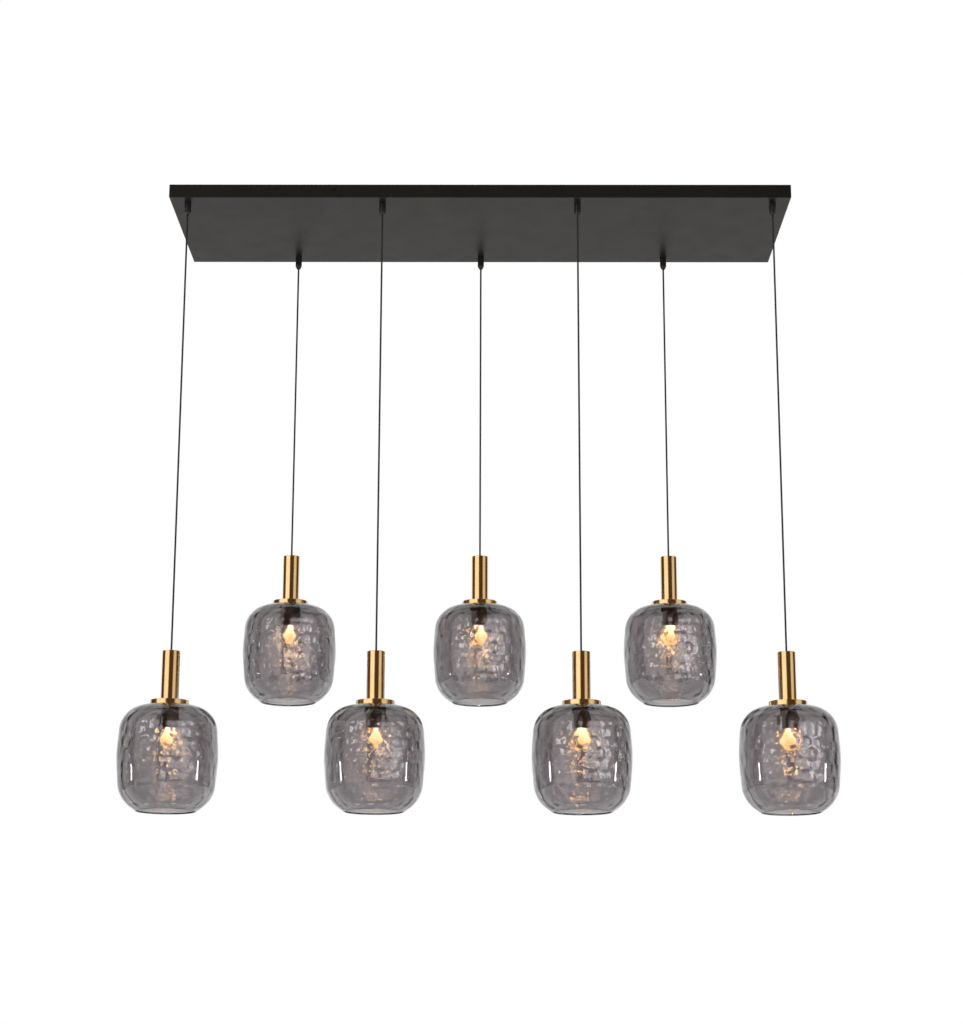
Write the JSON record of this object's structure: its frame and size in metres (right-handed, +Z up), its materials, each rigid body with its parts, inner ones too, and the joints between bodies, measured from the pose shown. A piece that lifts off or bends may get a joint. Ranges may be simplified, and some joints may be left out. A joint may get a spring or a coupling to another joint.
{
  "type": "cluster pendant",
  "caption": "Linear cluster pendant: hammered smoked-glass shades with brass socket covers, on cords at two heights under one long rectangular ceiling canopy.",
  "frame": {"origin": "centre of the canopy's top, in the ceiling's plane, at the centre of the four ceiling screw holes", "axes": "+Z up into the ceiling, X along the canopy, -Y towards the front row of lamps"},
  "size_m": [1.318, 0.484, 1.2024],
  "materials": {
    "black_steel": "satin",
    "zinc_steel": "satin",
    "black_plastic": "satin",
    "bush_rubber": "matte",
    "cord_cloth": "matte",
    "terminal_plastic": "matte",
    "brass": "brushed and polished",
    "smoked_glass": "hammered gloss",
    "holder_black": "gloss",
    "bulb_glass": "opal, lit warm"
  },
  "bodies": {
    "canopy": {"canopy_pan": "black_steel", "mounting_brackets": "zinc_steel", "canopy_screws": "black_steel", "cord_grips": "black_plastic", "grip_locknuts": "zinc_steel", "cord_ends": "cord_cloth", "terminal_block": "terminal_plastic", "terminal_screws": "zinc_steel"},
    "bend_1": {"grip_bush_1": "bush_rubber"},
    "drop_1": {"cord_1": "cord_cloth"},
    "lamp_1": {"socket_cover_1": "brass", "gallery_1": "brass", "shade_1": "smoked_glass", "lamp_holder_1": "holder_black"},
    "screw_bulb_1": {"bulb_1": "bulb_glass"},
    "bend_2": {"grip_bush_2": "bush_rubber"},
    "drop_2": {"cord_2": "cord_cloth"},
    "lamp_2": {"socket_cover_2": "brass", "gallery_2": "brass", "shade_2": "smoked_glass", "lamp_holder_2": "holder_black"},
    "screw_bulb_2": {"bulb_2": "bulb_glass"},
    "bend_3": {"grip_bush_3": "bush_rubber"},
    "drop_3": {"cord_3": "cord_cloth"},
    "lamp_3": {"socket_cover_3": "brass", "gallery_3": "brass", "shade_3": "smoked_glass", "lamp_holder_3": "holder_black"},
    "screw_bulb_3": {"bulb_3": "bulb_glass"},
    "bend_4": {"grip_bush_4": "bush_rubber"},
    "drop_4": {"cord_4": "cord_cloth"},
    "lamp_4": {"socket_cover_4": "brass", "gallery_4": "brass", "shade_4": "smoked_glass", "lamp_holder_4": "holder_black"},
    "screw_bulb_4": {"bulb_4": "bulb_glass"},
    "bend_5": {"grip_bush_5": "bush_rubber"},
    "drop_5": {"cord_5": "cord_cloth"},
    "lamp_5": {"socket_cover_5": "brass", "gallery_5": "brass", "shade_5": "smoked_glass", "lamp_holder_5": "holder_black"},
    "screw_bulb_5": {"bulb_5": "bulb_glass"},
    "bend_6": {"grip_bush_6": "bush_rubber"},
    "drop_6": {"cord_6": "cord_cloth"},
    "lamp_6": {"socket_cover_6": "brass", "gallery_6": "brass", "shade_6": "smoked_glass", "lamp_holder_6": "holder_black"},
    "screw_bulb_6": {"bulb_6": "bulb_glass"},
    "bend_7": {"grip_bush_7": "bush_rubber"},
    "drop_7": {"cord_7": "cord_cloth"},
    "lamp_7": {"socket_cover_7": "brass", "gallery_7": "brass", "shade_7": "smoked_glass", "lamp_holder_7": "holder_black"},
    "screw_bulb_7": {"bulb_7": "bulb_glass"}
  },
  "joints": [
    {"name": "side_swing_1", "type": "hinge", "parent": "canopy", "child": "bend_1", "pos_m": [-0.567, -0.15, -0.049], "axis": [0, 1, 0], "range_deg": [-8, 8]},
    {"name": "fore_swing_1", "type": "hinge", "parent": "bend_1", "child": "drop_1", "pos_m": [-0.567, -0.15, -0.049], "axis": [1, 0, 0], "range_deg": [-8, 8]},
    {"name": "height_1", "type": "slide", "parent": "drop_1", "child": "lamp_1", "axis": [0, 0, 1], "range_m": [0, 0.5], "deforming": ["cord_1"]},
    {"name": "bulb_turn_1", "type": "hinge", "parent": "lamp_1", "child": "screw_bulb_1", "pos_m": [-0.567, -0.15, -1.03], "axis": [0, 0, 1], "range_deg": [0, 360]},
    {"name": "side_swing_2", "type": "hinge", "parent": "canopy", "child": "bend_2", "pos_m": [-0.378, 0.15, -0.049], "axis": [0, 1, 0], "range_deg": [-8, 8]},
    {"name": "fore_swing_2", "type": "hinge", "parent": "bend_2", "child": "drop_2", "pos_m": [-0.378, 0.15, -0.049], "axis": [1, 0, 0], "range_deg": [-8, 8]},
    {"name": "height_2", "type": "slide", "parent": "drop_2", "child": "lamp_2", "axis": [0, 0, 1], "range_m": [0, 0.4], "deforming": ["cord_2"]},
    {"name": "bulb_turn_2", "type": "hinge", "parent": "lamp_2", "child": "screw_bulb_2", "pos_m": [-0.378, 0.15, -0.785], "axis": [0, 0, 1], "range_deg": [0, 360]},
    {"name": "side_swing_3", "type": "hinge", "parent": "canopy", "child": "bend_3", "pos_m": [-0.189, -0.15, -0.049], "axis": [0, 1, 0], "range_deg": [-8, 8]},
    {"name": "fore_swing_3", "type": "hinge", "parent": "bend_3", "child": "drop_3", "pos_m": [-0.189, -0.15, -0.049], "axis": [1, 0, 0], "range_deg": [-8, 8]},
    {"name": "height_3", "type": "slide", "parent": "drop_3", "child": "lamp_3", "axis": [0, 0, 1], "range_m": [0, 0.5], "deforming": ["cord_3"]},
    {"name": "bulb_turn_3", "type": "hinge", "parent": "lamp_3", "child": "screw_bulb_3", "pos_m": [-0.189, -0.15, -1.03], "axis": [0, 0, 1], "range_deg": [0, 360]},
    {"name": "side_swing_4", "type": "hinge", "parent": "canopy", "child": "bend_4", "pos_m": [0, 0.15, -0.049], "axis": [0, 1, 0], "range_deg": [-8, 8]},
    {"name": "fore_swing_4", "type": "hinge", "parent": "bend_4", "child": "drop_4", "pos_m": [0, 0.15, -0.049], "axis": [1, 0, 0], "range_deg": [-8, 8]},
    {"name": "height_4", "type": "slide", "parent": "drop_4", "child": "lamp_4", "axis": [0, 0, 1], "range_m": [0, 0.4], "deforming": ["cord_4"]},
    {"name": "bulb_turn_4", "type": "hinge", "parent": "lamp_4", "child": "screw_bulb_4", "pos_m": [0, 0.15, -0.785], "axis": [0, 0, 1], "range_deg": [0, 360]},
    {"name": "side_swing_5", "type": "hinge", "parent": "canopy", "child": "bend_5", "pos_m": [0.189, -0.15, -0.049], "axis": [0, 1, 0], "range_deg": [-8, 8]},
    {"name": "fore_swing_5", "type": "hinge", "parent": "bend_5", "child": "drop_5", "pos_m": [0.189, -0.15, -0.049], "axis": [1, 0, 0], "range_deg": [-8, 8]},
    {"name": "height_5", "type": "slide", "parent": "drop_5", "child": "lamp_5", "axis": [0, 0, 1], "range_m": [0, 0.5], "deforming": ["cord_5"]},
    {"name": "bulb_turn_5", "type": "hinge", "parent": "lamp_5", "child": "screw_bulb_5", "pos_m": [0.189, -0.15, -1.03], "axis": [0, 0, 1], "range_deg": [0, 360]},
    {"name": "side_swing_6", "type": "hinge", "parent": "canopy", "child": "bend_6", "pos_m": [0.378, 0.15, -0.049], "axis": [0, 1, 0], "range_deg": [-8, 8]},
    {"name": "fore_swing_6", "type": "hinge", "parent": "bend_6", "child": "drop_6", "pos_m": [0.378, 0.15, -0.049], "axis": [1, 0, 0], "range_deg": [-8, 8]},
    {"name": "height_6", "type": "slide", "parent": "drop_6", "child": "lamp_6", "axis": [0, 0, 1], "range_m": [0, 0.4], "deforming": ["cord_6"]},
    {"name": "bulb_turn_6", "type": "hinge", "parent": "lamp_6", "child": "screw_bulb_6", "pos_m": [0.378, 0.15, -0.785], "axis": [0, 0, 1], "range_deg": [0, 360]},
    {"name": "side_swing_7", "type": "hinge", "parent": "canopy", "child": "bend_7", "pos_m": [0.567, -0.15, -0.049], "axis": [0, 1, 0], "range_deg": [-8, 8]},
    {"name": "fore_swing_7", "type": "hinge", "parent": "bend_7", "child": "drop_7", "pos_m": [0.567, -0.15, -0.049], "axis": [1, 0, 0], "range_deg": [-8, 8]},
    {"name": "height_7", "type": "slide", "parent": "drop_7", "child": "lamp_7", "axis": [0, 0, 1], "range_m": [0, 0.5], "deforming": ["cord_7"]},
    {"name": "bulb_turn_7", "type": "hinge", "parent": "lamp_7", "child": "screw_bulb_7", "pos_m": [0.567, -0.15, -1.03], "axis": [0, 0, 1], "range_deg": [0, 360]}
  ]
}
